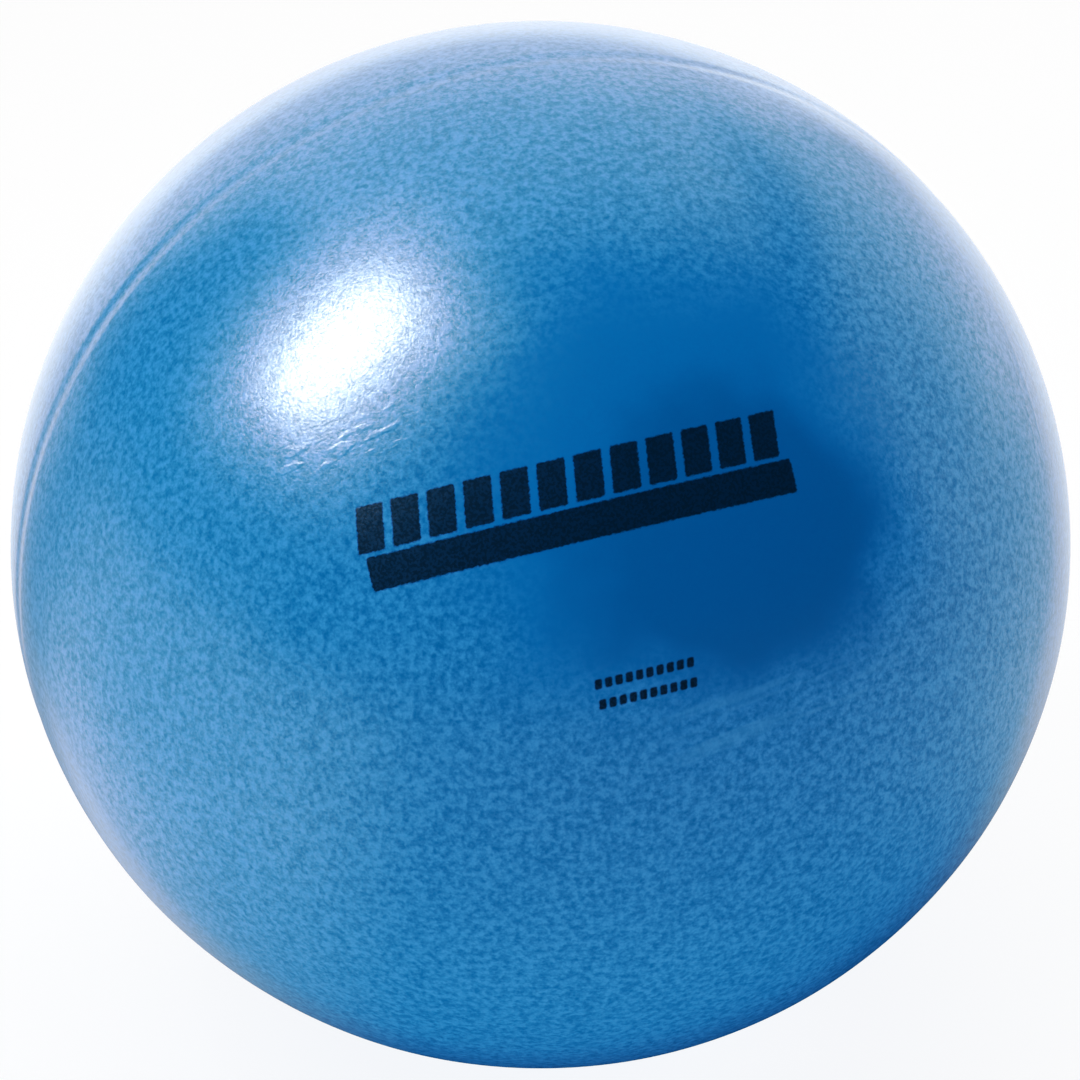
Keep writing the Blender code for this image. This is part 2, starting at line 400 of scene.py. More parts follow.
# %% The seat's outline and mesh
HEAD_RADIUS = 0.0055
STEM_RADIUS = 0.0025
BARB_HEIGHT = 0.0004
SEAT_FACE_RADIUS = hole_radius - CLEARANCE
SEAT_LENGTH = 0.0120
RECESS_RADIUS = HEAD_RADIUS + CLEARANCE
RECESS_FLOOR = -0.0010
BORE_RADIUS = STEM_RADIUS + BARB_HEIGHT + CLEARANCE
LIP_RADIUS = STEM_RADIUS + CLEARANCE
LIP_LENGTH = 0.0014
BORE_END = LIP_LENGTH + BORE_RADIUS - LIP_RADIUS - SEAT_LENGTH  # a cone of 45 degrees leads to the lip
FLANGE_RADIUS = SEAT_FACE_RADIUS + 0.0040
FLANGE_THICKNESS = 0.0012
FLANGE_UNDER = under_skin(FLANGE_RADIUS) - FLANGE_THICKNESS
TUBE_RADIUS = BORE_RADIUS + 0.0024

seat_corners = [  # radius, place, and where the corner's curve starts
    (RECESS_RADIUS, dome(RECESS_RADIUS), 0.00025),
    (SEAT_FACE_RADIUS, dome(SEAT_FACE_RADIUS), 0.00030),
    (SEAT_FACE_RADIUS, under_skin(SEAT_FACE_RADIUS), 0.00010),
    (FLANGE_RADIUS, under_skin(FLANGE_RADIUS), 0.00040),
    (FLANGE_RADIUS, FLANGE_UNDER, 0.00040),
    (TUBE_RADIUS, FLANGE_UNDER, 0.00080),
    (TUBE_RADIUS, -SEAT_LENGTH, 0.00050),
    (LIP_RADIUS, -SEAT_LENGTH, 0.00030),
    (LIP_RADIUS, LIP_LENGTH - SEAT_LENGTH, 0.00020),
    (BORE_RADIUS, BORE_END, 0.00020),
    (BORE_RADIUS, RECESS_FLOOR, 0.00040),
    (RECESS_RADIUS, RECESS_FLOOR, 0.00015),
]
seat = ring_surface("seat", turned_rings(softened(seat_corners, closed=True)))

# %% [markdown]
# ## The plug
#
# A harder plastic pin, pushed in by hand: a thin round head that a fingernail can catch, a stem with three
# barbs that seal in the bore, and a tapered tip. The mould leaves a shallow dimple in the middle of the
# head, where the plastic ran in, and a fine ring near its edge that gives a thumb some hold. It is turned
# like the seat.

# %% The plug's outline and mesh
HEAD_PROUD = 0.0005
HEAD_THICKNESS = 0.0012
HEAD_UNDER = HEAD_PROUD - HEAD_THICKNESS
DIMPLE_RADIUS = 0.0011
DIMPLE_FLOOR = DIMPLE_RADIUS * 0.6
DIMPLE_DEPTH = 0.00025
RING_RADIUS = 0.0040
RING_INSIDE, RING_OUTSIDE = RING_RADIUS - 0.00025, RING_RADIUS + 0.00025
RING_DEPTH = 0.00015
SHOULDER = -SEAT_LENGTH - 0.0005
TIP_END = SHOULDER - 0.0030
TIP_RADIUS = 0.0012
BARB_COUNT = 3
BARB_SHARE = 0.75  # of the distance from barb to barb
BARB_CREST = 0.75  # how far below its start a barb is widest, in its own heights


def head_top(radius, sunk=0.0):
    """Where the head's face lies at this distance from its middle."""
    return HEAD_PROUD + dome(radius) - sunk


plug_corners = [
    (0.0, head_top(0, DIMPLE_DEPTH), 0.0),
    (DIMPLE_FLOOR, head_top(DIMPLE_FLOOR, DIMPLE_DEPTH), 0.00020),
    (DIMPLE_RADIUS, head_top(DIMPLE_RADIUS), 0.00020),
    (RING_INSIDE, head_top(RING_INSIDE), 0.00010),
    (RING_RADIUS, head_top(RING_RADIUS, RING_DEPTH), 0.00010),
    (RING_OUTSIDE, head_top(RING_OUTSIDE), 0.00010),
    (HEAD_RADIUS, head_top(HEAD_RADIUS), 0.00045),
    (HEAD_RADIUS, HEAD_UNDER, 0.00020),
    (STEM_RADIUS, HEAD_UNDER, 0.00030),
]
barb_pitch = (RECESS_FLOOR - BORE_END) / (BARB_COUNT + 1)
for number in range(BARB_COUNT):
    top = RECESS_FLOOR - (number + 0.5) * barb_pitch
    plug_corners += [
        (STEM_RADIUS, top, 0.00008),
        (STEM_RADIUS + BARB_HEIGHT, top - BARB_HEIGHT * BARB_CREST, 0.00012),
        (STEM_RADIUS, top - barb_pitch * BARB_SHARE, 0.00015),
    ]
plug_corners += [
    (STEM_RADIUS, SHOULDER, 0.00060),
    (TIP_RADIUS, TIP_END, 0.00050),
    (0.0, TIP_END, 0.0),
]
plug_ends = [(0.0, half_width + plug_corners[i][1], centre_height) for i in (0, -1)]
plug = ring_surface("plug", turned_rings(softened(plug_corners, closed=False)), plug_ends)

# %% [markdown]
# ## Materials, built from small groups
#
# Three effects show on more than one piece: the grain of the mould, the clouds that hands leave, and long
# strokes. Each becomes a shader node group with named inputs and outputs. A group gives only masks and
# heights, and each material decides what to do with them. The helpers below keep the wiring short.

# %% Helpers for nodes
VECTOR = "NodeSocketVector"
NUMBER = "NodeSocketFloat"
ONE_NUMBER_OUT = ("LENGTH", "DISTANCE", "DOT_PRODUCT")


def feed(tree, socket, value):
    """Link a socket to an output, or set its own value."""
    if isinstance(value, bpy.types.NodeSocket):
        tree.links.new(value, socket)
    else:
        socket.default_value = value


def node(tree, kind, settings=None, **inputs):
    """Add a shader node, set its properties, and fill or link its inputs. An input is named by its label, or
    by its number after an underscore."""
    made = tree.nodes.new(kind)
    for name, value in (settings or {}).items():
        setattr(made, name, value)
    for name, value in inputs.items():
        socket = int(name[1:]) if name[1:].isdigit() else name.replace("_", " ")
        feed(tree, made.inputs[socket], value)
    return made


def math_node(tree, operation, a, b=0.0, c=0.0):
    """One arithmetic step on numbers."""
    return node(tree, "ShaderNodeMath", {"operation": operation}, _0=a, _1=b, _2=c).outputs[0]


def vector_node(tree, operation, a, b=(0.0, 0.0, 0.0)):
    """One arithmetic step on vectors, which gives a number or a vector."""
    made = node(tree, "ShaderNodeVectorMath", {"operation": operation}, _0=a, _1=b)
    return made.outputs["Value" if operation in ONE_NUMBER_OUT else "Vector"]


def noise(tree, place, scale, detail, roughness=0.5):
    """Cloudy noise between 0 and 1, with this many waves to the metre and ever finer ones added on."""
    inputs = {"Vector": place, "Scale": scale, "Detail": detail, "Roughness": roughness}
    return node(tree, "ShaderNodeTexNoise", None, **inputs).outputs[0]


def ramp(tree, value, start, end, low=0.0, high=1.0):
    """An eased step from low to high as the value goes from start to end."""
    settings = {"interpolation_type": "SMOOTHSTEP"}
    made = node(tree, "ShaderNodeMapRange", settings, _0=value, _1=start, _2=end, _3=low, _4=high)
    return made.outputs[0]


def blend(tree, factor, a, b):
    """A colour between two, by a factor."""
    return node(tree, "ShaderNodeMix", {"data_type": "RGBA"}, _0=factor, _6=a, _7=b).outputs[2]


def new_group(name, inputs, outputs):
    """An empty node group with named inputs and outputs, and its two end nodes."""
    tree = bpy.data.node_groups.new(name, "ShaderNodeTree")
    for label, (kind, value) in inputs.items():
        socket = tree.interface.new_socket(label, in_out="INPUT", socket_type=kind)
        if value is not None:
            socket.default_value = value
    for label in outputs:
        tree.interface.new_socket(label, in_out="OUTPUT", socket_type=NUMBER)
    print("group", name)
    return tree, tree.nodes.new("NodeGroupInput").outputs, tree.nodes.new("NodeGroupOutput").inputs


def use_group(tree, group, **inputs):
    """Place a group in a material and fill its inputs."""
    return node(tree, "ShaderNodeGroup", {"node_tree": group}, **inputs).outputs


# %% [markdown]
# ### Pebble grain
#
# The mould is etched so that the skin comes out with a fine pebbled grain, about three millimetres from
# pebble to pebble. The skin's material paints each top paler and each pit darker: partly the grain's own
# tone, partly painted shading and a painted sheen for how the pebbles catch the light. So the grain shows
# mostly as a mottle, and much less as relief. Noise at that size, pushed towards black and white, gives tops
# and pits of chance shapes, where a Voronoi pattern would give cells with clear borders. A finer noise is
# the roughness of the etching itself, which breaks the rim of a highlight into specks.

# %% The grain group
PEBBLES = 500.0  # waves to the metre
COARSE_DETAIL, COARSE_ROUGHNESS = 1.8, 0.6
FINE_TIMES = 2.6  # finer than the pebbles
FINE_DETAIL = 1.0
FINE_SHARE = 0.7
TOPS_STEP = (0.27, 0.73)
SPECKS_STEP = (0.36, 0.64)

grain_group, given, put = new_group(
    "pebble grain",
    {"Place": (VECTOR, None), "Pebbles per metre": (NUMBER, PEBBLES), "Fine share": (NUMBER, FINE_SHARE)},
    ("Height", "Tops", "Specks"),
)
place, pebbles, fine_share = given[0], given[1], given[2]
coarse = noise(grain_group, place, pebbles, COARSE_DETAIL, COARSE_ROUGHNESS)
fine = noise(grain_group, place, math_node(grain_group, "MULTIPLY", pebbles, FINE_TIMES), FINE_DETAIL)
fine_height = math_node(grain_group, "MULTIPLY", fine, fine_share)
coarse_share = math_node(grain_group, "SUBTRACT", 1.0, fine_share)
feed(grain_group, put[0], math_node(grain_group, "MULTIPLY_ADD", coarse, coarse_share, fine_height))
feed(grain_group, put[1], ramp(grain_group, coarse, *TOPS_STEP))
feed(grain_group, put[2], ramp(grain_group, fine, *SPECKS_STEP))

# %% [markdown]
# ### Clouds and strokes
#
# A ball that is held, sat on and rolled over a mat picks up a faint cloudiness, which is wide soft noise.
# Polishing a mould and rubbing a plug both leave long strokes. They are noise that is drawn out in one
# direction, by counting far fewer waves to the metre along it than across it, and then cut off high, so that
# only the crests are left.

# %% The clouds group and the strokes group
CLOUD_SIZE = 0.06
CLOUD_DETAIL = 3.0
CLOUD_STEP = (0.35, 0.70)
STROKE_DETAIL = 1.5
STROKE_STEP = (0.50, 0.66)

clouds_group, given, put = new_group(
    "handling clouds", {"Place": (VECTOR, None), "Cloud size": (NUMBER, CLOUD_SIZE)}, ("Clouds",)
)
clouds = noise(clouds_group, given[0], math_node(clouds_group, "DIVIDE", 1.0, given[1]), CLOUD_DETAIL)
feed(clouds_group, put[0], ramp(clouds_group, clouds, *CLOUD_STEP))

strokes_group, given, put = new_group(
    "long strokes", {"Place": (VECTOR, None), "Waves per metre": (VECTOR, None)}, ("Strokes",)
)
counted = vector_node(strokes_group, "MULTIPLY", given[0], given[1])
strokes = noise(strokes_group, counted, 1.0, STROKE_DETAIL)
feed(strokes_group, put[0], ramp(strokes_group, strokes, *STROKE_STEP))

# %% [markdown]
# ### A plain print
#
# The ball carries a dark print on its face. Here it is a plain row of slanted blocks over a solid bar, and
# two rows of small blocks lower down. An image would blur up close, so each shape is a distance: how far a
# place on the skin is outside a rectangle. Where that is negative there is ink.

# %% Distances to rectangles
CORNER = 0.0006  # radius of the blocks' corners
BLOCK_SLANT = 0.15  # how far a block leans sideways, over its height

print_group, given, put = new_group("plain print", {"Along skin": (VECTOR, None)}, ("Ink",))
print_place = given[0]
print_axes = node(print_group, "ShaderNodeSeparateXYZ", None, _0=print_place).outputs
across, up = print_axes[0], print_axes[1]


def outside_box(tree, u, v, centre, half):
    """How far a place is outside a rectangle with round corners: with q the place's distance past each side
    of the rectangle shrunk by the corner's radius, it is the length of q where positive, plus the greater of
    the two where both are negative, less the radius."""
    past = []
    for value, middle_of, reach_of in zip((u, v), centre, half):
        offset = math_node(tree, "ABSOLUTE", math_node(tree, "SUBTRACT", value, middle_of))
        past.append(math_node(tree, "SUBTRACT", offset, reach_of - CORNER))
    outward = [math_node(tree, "MAXIMUM", side, 0.0) for side in past]
    pair = node(tree, "ShaderNodeCombineXYZ", None, _0=outward[0], _1=outward[1]).outputs[0]
    length = vector_node(tree, "LENGTH", pair)
    inward = math_node(tree, "MINIMUM", math_node(tree, "MAXIMUM", *past), 0.0)
    return math_node(tree, "SUBTRACT", math_node(tree, "ADD", length, inward), CORNER)


def outside_row(tree, middle_of, half, pitch, count):
    """How far a place is outside a row of equal blocks: the distance to one block, with the place's offset
    taken within one pitch, and no less than the distance to the whole row."""
    slanted = math_node(tree, "MULTIPLY_ADD", up, -BLOCK_SLANT, across)
    row_start = middle_of[0] - BLOCK_SLANT * middle_of[1] - pitch * count / 2
    along = math_node(tree, "SUBTRACT", slanted, row_start)
    in_block = math_node(tree, "MODULO", along, pitch)
    block = outside_box(tree, in_block, up, (pitch / 2, middle_of[1]), half)
    row = outside_box(tree, along, up, (pitch * count / 2, middle_of[1]), (pitch * count / 2, half[1]))
    return math_node(tree, "MAXIMUM", block, row)


# %% [markdown]
# Noise moves the edges of the large blocks and the bar, as the grain does under a real print. The small
# blocks are narrower than a pebble, so their edges move less. The distance becomes a mask over 0.6 mm.

# %% The print's layout and its ink
LARGE_ROW = ((0.0014, 0.0093), (0.0037, 0.0060), 0.0096, 12)  # middle, half a block's size, pitch, count
SMALL_ROWS = [((0.0090, row_height), (0.0010, 0.0013), 0.0028, 10) for row_height in (-0.0430, -0.0484)]
BAR_MIDDLE, BAR_HALF = (0.0027, -0.0022), (0.0570, 0.0044)
INK_EDGE = 0.0006
INK_RAGGED = 0.0009  # how far noise moves the edges of the large shapes
INK_UNEVEN = 0.0003  # and of the small ones
RAGGED_WAVES, RAGGED_DETAIL = 900.0, 2.0

ragged = noise(print_group, print_place, RAGGED_WAVES, RAGGED_DETAIL)
ragged = math_node(print_group, "SUBTRACT", ragged, 0.5)
bar = outside_box(print_group, across, up, BAR_MIDDLE, BAR_HALF)
large = math_node(print_group, "MINIMUM", bar, outside_row(print_group, *LARGE_ROW))
large = math_node(print_group, "MULTIPLY_ADD", ragged, INK_RAGGED, large)
small = math_node(print_group, "MINIMUM", *(outside_row(print_group, *row) for row in SMALL_ROWS))
small = math_node(print_group, "MULTIPLY_ADD", ragged, INK_UNEVEN, small)
design = math_node(print_group, "MINIMUM", large, small)
feed(print_group, put[0], ramp(print_group, design, INK_EDGE / 2, -INK_EDGE / 2))
print(LARGE_ROW[-1], "large blocks,", sum(row[-1] for row in SMALL_ROWS), "small ones")

# %% [markdown]
# ## The skin's material
#
# Soft blue PVC is dyed right through, and a little wax at its surface shines white. One glossy layer would
# give either a sharp hot spot or a dull colour. So the dyed body is the base, and the wax is a rough clear
# coat over it, which gives the wide hot spot and the pale veil towards the edge.

# %% The skin's two layers


def start_material(name, values):
    """A new material with these uniform values, its node tree and its shader."""
    material = bpy.data.materials.new(name)
    material.use_nodes = True
    shader = material.node_tree.nodes["Principled BSDF"]
    for label, value in values.items():
        shader.inputs[label].default_value = value
    return material, material.node_tree, shader


BODY = {"IOR": 1.5, "Specular IOR Level": 0.02, "Specular Tint": (0.0, 0.38, 1.0, 1.0)}
WAX = {"Coat IOR": 1.62, "Coat Roughness": 0.27}
skin_material, tree, shader = start_material("blue_soft_pvc", BODY | WAX)
place = node(tree, "ShaderNodeTexCoord").outputs["Object"]
grain = use_group(tree, grain_group, Place=place)
tops, specks = grain[1], grain[2]
clouds = use_group(tree, clouds_group, Place=place)[0]
print("material", skin_material.name)

# %% [markdown]
# ### Where the mould was worked, and where shade is painted
#
# Round the print the mould is smooth, so the mottle fades out there, and in the middle of it the steel was
# polished, so the skin is less rough there, and the body is painted a deeper blue, which is painted shade.
# Both are ovals on the map, with an edge that noise moves, because nobody polishes to a line. The polishing
# left long strokes above and below the print, and their paler colour is a painted sheen. Near the right edge
# the soft skin has a few upright creases.

# %% Patches, streaks and creases
POLISHED_SHADED_PATCH = ((0.040, 0.043), (-0.016, 0.038))  # middle and half, along the print and across it
CALM_PATCH = ((0.033, 0.057), (0.004, 0.055))
POLISHED_SHADED_STEP = (1.30, 0.72)  # from where the patch starts to where it is full, in its halves
CALM_STEP = (1.45, 0.60)
WOBBLE_WAVES, WOBBLE_DETAIL = 38.0, 2.0
WOBBLE_SHARE = 0.7
UPPER_STREAKS = ((0.0430, 0.0070), (-0.0540, 0.0260))  # middle and reach, across the strokes and along
LOWER_STREAKS = ((-0.0590, 0.0110), (0.0440, 0.0460))
CREASES = ((0.1720, 0.0120), (0.0120, 0.0340))  # middle and reach, across the creases and along
UPPER_WAVES = (120.0, 0.0, 340.0)  # to the metre along the map's three coordinates
LOWER_WAVES = (17.0, 0.0, 330.0)
CREASE_WAVES = (170.0, 14.0, 0.0)

skin_map = node(tree, "ShaderNodeAttribute", {"attribute_name": "along_skin"}).outputs["Vector"]
map_axes = node(tree, "ShaderNodeSeparateXYZ", None, _0=skin_map).outputs
longitude, latitude, stroke_latitude = map_axes[0], map_axes[1], map_axes[2]
wobble = math_node(tree, "SUBTRACT", noise(tree, place, WOBBLE_WAVES, WOBBLE_DETAIL), 0.5)


def patch(tree, limits, start, end):
    """A mask that is 1 inside an oval and fades out at its wobbling edge."""
    shares = [
        math_node(tree, "DIVIDE", math_node(tree, "SUBTRACT", axis, middle_of), half_of)
        for axis, (middle_of, half_of) in zip((longitude, latitude), limits)
    ]
    pair = node(tree, "ShaderNodeCombineXYZ", None, _0=shares[0], _1=shares[1]).outputs[0]
    reach = math_node(tree, "MULTIPLY_ADD", wobble, WOBBLE_SHARE, vector_node(tree, "LENGTH", pair))
    return ramp(tree, reach, start, end)


def strokes_within(tree, coordinates, limits, waves):
    """Strokes inside a patch of the map: each coordinate has a middle and a reach, and the outer half of the
    reach fades out."""
    inside = 1.0
    for coordinate, (middle_of, reach_of) in zip(coordinates, limits):
        offset = math_node(tree, "ABSOLUTE", math_node(tree, "SUBTRACT", coordinate, middle_of))
        inside = math_node(tree, "MULTIPLY", inside, ramp(tree, offset, reach_of, reach_of / 2))
    found = use_group(tree, strokes_group, Place=skin_map, Waves_per_metre=waves)[0]
    return math_node(tree, "MULTIPLY", inside, found)


# This mask marks the polished patch, where the skin is less rough, and it also carries the painted shade
# that makes the body a deeper blue there.
polished_and_shaded = patch(tree, POLISHED_SHADED_PATCH, *POLISHED_SHADED_STEP)
calm = patch(tree, CALM_PATCH, *CALM_STEP)
upper_streaks = strokes_within(tree, (stroke_latitude, longitude), UPPER_STREAKS, UPPER_WAVES)
# The lower streaks only make the body paler, a painted sheen.
lower_sheen_streaks = strokes_within(tree, (stroke_latitude, longitude), LOWER_STREAKS, LOWER_WAVES)
creases = strokes_within(tree, (longitude, latitude), CREASES, CREASE_WAVES)
print("patches and streaks from", len(tree.nodes), "nodes")

# %% [markdown]
# ### The dyed body and its painted shading
#
# The colours go on in this order: pits and tops, whose contrast is partly painted shading and a painted
# sheen, the smooth patches, with painted shade in the polished one, the streaks, painted paler as a painted
# sheen, and the ink last, a little thinner on the specks of the grain.

# %% The skin's colour
# Tops and pits are the grain's own tone with painted shading: the pits darker, the tops paler and, in their
# red, a painted sheen.
SKIN_TOPS_WITH_SHEEN = (0.046, 0.265, 0.662, 1.0)
SKIN_PITS_WITH_SHADE = (0.0, 0.149, 0.368, 1.0)
SKIN_CALM = (0.0, 0.166, 0.452, 1.0)
# The polished patch's colour is painted shade: a deeper blue than the skin round it.
SKIN_PAINTED_SHADE = (0.0, 0.130, 0.340, 1.0)
# The streaks' paler colour is a painted sheen on their ridges.
STREAK_PAINTED_SHEEN = (0.06, 0.27, 0.62, 1.0)
INK = (0.001, 0.028, 0.058, 1.0)
SPECK_SHARE = 0.22  # of the mottle
UPPER_PAINTED_SHEEN, LOWER_PAINTED_SHEEN = 0.50, 0.38
INK_ON_SPECKS = 0.93
GRAINED_ROUGHNESS, POLISHED_ROUGHNESS = 0.40, 0.26

# The mottle blends pits and tops, so it carries the grain with its painted shading and sheen.
speck_part = math_node(tree, "MULTIPLY", specks, SPECK_SHARE)
mottle_and_shading = math_node(tree, "MULTIPLY_ADD", tops, 1 - SPECK_SHARE, speck_part)
body = blend(tree, mottle_and_shading, SKIN_PITS_WITH_SHADE, SKIN_TOPS_WITH_SHEEN)
body = blend(tree, calm, body, SKIN_CALM)
# Painted shade: the body turns a deeper blue in the polished patch.
body = blend(tree, polished_and_shaded, body, SKIN_PAINTED_SHADE)
# Painted sheen: the streaks make the body paler.
for streaks, painted_sheen in ((upper_streaks, UPPER_PAINTED_SHEEN), (lower_sheen_streaks, LOWER_PAINTED_SHEEN)):
    body = blend(tree, math_node(tree, "MULTIPLY", streaks, painted_sheen), body, STREAK_PAINTED_SHEEN)
ink = use_group(tree, print_group, Along_skin=skin_map)[0]
ink = math_node(tree, "MULTIPLY", ink, ramp(tree, specks, 0.0, 1.0, 1.0, INK_ON_SPECKS))
feed(tree, shader.inputs["Base Color"], blend(tree, ink, body, INK))
body_roughness = ramp(tree, polished_and_shaded, 0.0, 1.0, GRAINED_ROUGHNESS, POLISHED_ROUGHNESS)
feed(tree, shader.inputs["Roughness"], body_roughness)
print("body colour added,", len(tree.nodes), "nodes")

# %% [markdown]
# ### The wax
#
# Wax and wear sit on the tops, so the coat's weight follows the grain, which breaks the hot spot's rim into
# specks. It is thinner where the mould was polished and where hands have clouded it. Seen from the side, the
# waxy tops hide the pits, so the weight rises towards the ball's edge. The Layer Weight node tells how far a
# face is turned away, and works only on the gloss.

# %% The skin's shine
WAX_EVERYWHERE = 0.44
WAX_ON_TOPS = 0.26
WAX_ON_SPECKS = 0.30
WAX_FLECKS = (0.1, 0.7, 0.4, 1.0)  # the step in the specks, and the weight from and to
WAX_POLISHED = 0.7
WAX_CLOUDED = 0.94
WAX_AT_RIM = (0.60, 0.80, 0.0, 0.92)  # the step in the facing, and the weight from and to

shine = math_node(tree, "MULTIPLY_ADD", tops, WAX_ON_TOPS, WAX_EVERYWHERE)
shine = math_node(tree, "MULTIPLY_ADD", specks, WAX_ON_SPECKS, shine)
flecks = math_node(tree, "MULTIPLY", upper_streaks, ramp(tree, specks, *WAX_FLECKS))
shine = math_node(tree, "MAXIMUM", shine, flecks)
shine = math_node(tree, "MULTIPLY", shine, ramp(tree, polished_and_shaded, 0.0, 1.0, 1.0, WAX_POLISHED))
shine = math_node(tree, "MULTIPLY", shine, ramp(tree, clouds, 0.0, 1.0, 1.0, WAX_CLOUDED))
facing = node(tree, "ShaderNodeLayerWeight").outputs["Facing"]
shine = math_node(tree, "MAXIMUM", shine, ramp(tree, facing, *WAX_AT_RIM))
feed(tree, shader.inputs["Coat Weight"], shine)
print("shine added,", len(tree.nodes), "nodes")

# %% [markdown]
# ### The relief
#
# The pebbles, the upper streaks and the creases stand out by a few hundredths of a millimetre. A mesh would
# need millions of faces for that, so a bump node bends the light instead. Both layers share it, because the
# wax follows the skin.

# %% The skin's relief
GRAINED_DEPTH, CALM_DEPTH = 0.000060, 0.000020
STREAK_RIDGE = 0.00005
CREASE_RIDGE = 0.00006

grain_depth = ramp(tree, calm, 0.0, 1.0, GRAINED_DEPTH, CALM_DEPTH)
height = math_node(tree, "MULTIPLY", grain[0], grain_depth)
height = math_node(tree, "MULTIPLY_ADD", upper_streaks, STREAK_RIDGE, height)
height = math_node(tree, "MULTIPLY_ADD", creases, CREASE_RIDGE, height)
bump = node(tree, "ShaderNodeBump", None, Height=height, Distance=1.0)
feed(tree, shader.inputs["Normal"], bump.outputs[0])
feed(tree, shader.inputs["Coat Normal"], bump.outputs[0])
skin.data.materials.append(skin_material)
print("material", skin_material.name, len(tree.nodes), "nodes")

# %% [markdown]
# ## The valve's materials
#
# The seat is the same PVC as the skin, but thicker, so it looks a little deeper, and it is smooth where the
# tool was turned. The plug is a whitish, slightly waxy plastic. Its reflections spread wide, and light sinks
# in a little. Thumbs have rubbed it in one direction. Both have one layer, a finer grain and small clouds,
# so one function makes them.

# %% Seat and plug materials
RUBBED_ROUGHNESS = 0.10


def moulded(piece, name, values, pebbles, cloud_size, colours, roughness, relief, rubbed_waves=None):
    """Give a piece a plain moulded plastic. Clouds blend the two colours and the two roughnesses, and the
    grain, with this many pebbles to the metre, makes a slight relief. Strokes make it rougher where it is
    rubbed, with this many waves to the metre along x, y and z."""
    material, tree, shader = start_material(name, values)
    place = node(tree, "ShaderNodeTexCoord").outputs["Object"]
    grain = use_group(tree, grain_group, Place=place, Pebbles_per_metre=pebbles)
    clouds = use_group(tree, clouds_group, Place=place, Cloud_size=cloud_size)[0]
    rough = ramp(tree, clouds, 0.0, 1.0, *roughness)
    if rubbed_waves:
        rubbed = use_group(tree, strokes_group, Place=place, Waves_per_metre=rubbed_waves)[0]
        rough = math_node(tree, "MULTIPLY_ADD", rubbed, RUBBED_ROUGHNESS, rough)
    height = math_node(tree, "MULTIPLY", grain[0], relief)
    bump = node(tree, "ShaderNodeBump", None, Height=height, Distance=1.0)
    feed(tree, shader.inputs["Base Color"], blend(tree, clouds, *colours))
    feed(tree, shader.inputs["Roughness"], rough)
    feed(tree, shader.inputs["Normal"], bump.outputs[0])
    piece.data.materials.append(material)
    print("material", material.name, len(tree.nodes), "nodes")


moulded(
    seat,
    "blue_thick_pvc",
    {},
    pebbles=1500.0,
    cloud_size=0.004,
    colours=((0.0, 0.092, 0.275, 1.0), (0.0, 0.110, 0.320, 1.0)),
    roughness=(0.30, 0.38),
    relief=0.000010,
)
moulded(
    plug,
    "white_plug_plastic",
    {"Subsurface Weight": 0.15, "Subsurface Scale": 0.001},
    pebbles=2600.0,
    cloud_size=0.003,
    colours=((0.80, 0.79, 0.75, 1.0), (0.72, 0.71, 0.66, 1.0)),
    roughness=(0.34, 0.46),
    relief=0.000006,
    rubbed_waves=(90.0, 900.0, 1800.0),
)

# %% [markdown]
# ## Onto the frame
#
# The skin and the seat belong to the ball, and the plug slides on a joint of its own. Each new piece rides
# its body and hides the solid it stands for.

# %% Rides and replaced solids
PIECES = (
    (skin, "ball", "ball_skin"),
    (seat, "ball", "valve_seat"),
    (plug, "plug", "valve_plug"),
)
for piece, body, solid in PIECES:
    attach(piece, body)
    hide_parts(solid)
    print(piece.name, "rides", body, "and replaces", solid)

# %% [markdown]
# ## The floor
#
# The ball lies on the white sweep of a studio. A plain white floor would do, but the picture's background,
# the light thrown up at the ball and what its gloss sees could then not be matched one by one. So the floor
# glows with its own strength for each kind of ray: almost white for the camera, even for the ball's body,
# and for the gloss in pale pools some way off, with a painted shadow close under the ball and in front of
# it.

# %% The floor's shape and its pools
FLOOR_REACH = 6.0
WHITE = (1.0, 1.0, 1.0, 1.0)
CONTACT_MIDDLE = (0.03, -0.06, 0.0)  # the middle of the painted shadow that the gloss sees under the ball
CONTACT_STEP = (0.07, 0.33)
FRONT_STEP = (0.5, 1.0, 1.0, 0.35)  # from here to there in front, the pools sink from 1 to this share, into painted shadow
POOLS = (  # the way to a pool, the cosine where it starts and where it is full, its radiance from and to
    ((0.80, 0.60, 0.0), -0.35, 0.92, 0.05, 0.86),
    ((0.2, 0.98, 0.0), 0.40, 0.85, 0.0, 0.60),
    ((-0.30, 0.95, 0.0), 0.93, 0.99, 0.0, 0.70),
    ((-0.996, -0.087, 0.0), 0.62, 0.92, 0.0, 1.40),
)

corners = [(x * FLOOR_REACH, y * FLOOR_REACH, 0) for x, y in ((-1, -1), (1, -1), (1, 1), (-1, 1))]
floor_mesh = bpy.data.meshes.new("floor")
floor_mesh.from_pydata(corners, [], [(0, 1, 2, 3)])
floor = bpy.data.objects.new("floor", floor_mesh)
bpy.context.scene.collection.objects.link(floor)

floor_material, tree, unused = start_material("pale_floor", {})
tree.nodes.remove(unused)
place = node(tree, "ShaderNodeTexCoord").outputs["Object"]
way = vector_node(tree, "NORMALIZE", place)
pools = 0.0
for pool_way, start, full, low, high in POOLS:
    share = vector_node(tree, "DOT_PRODUCT", way, pool_way)
    pools = math_node(tree, "ADD", pools, ramp(tree, share, start, full, low, high))
frontward = math_node(tree, "MULTIPLY", node(tree, "ShaderNodeSeparateXYZ", None, _0=place).outputs[1], -1.0)
# In front of the ball the pools sink into painted shadow.
pools = math_node(tree, "MULTIPLY", pools, ramp(tree, frontward, *FRONT_STEP))
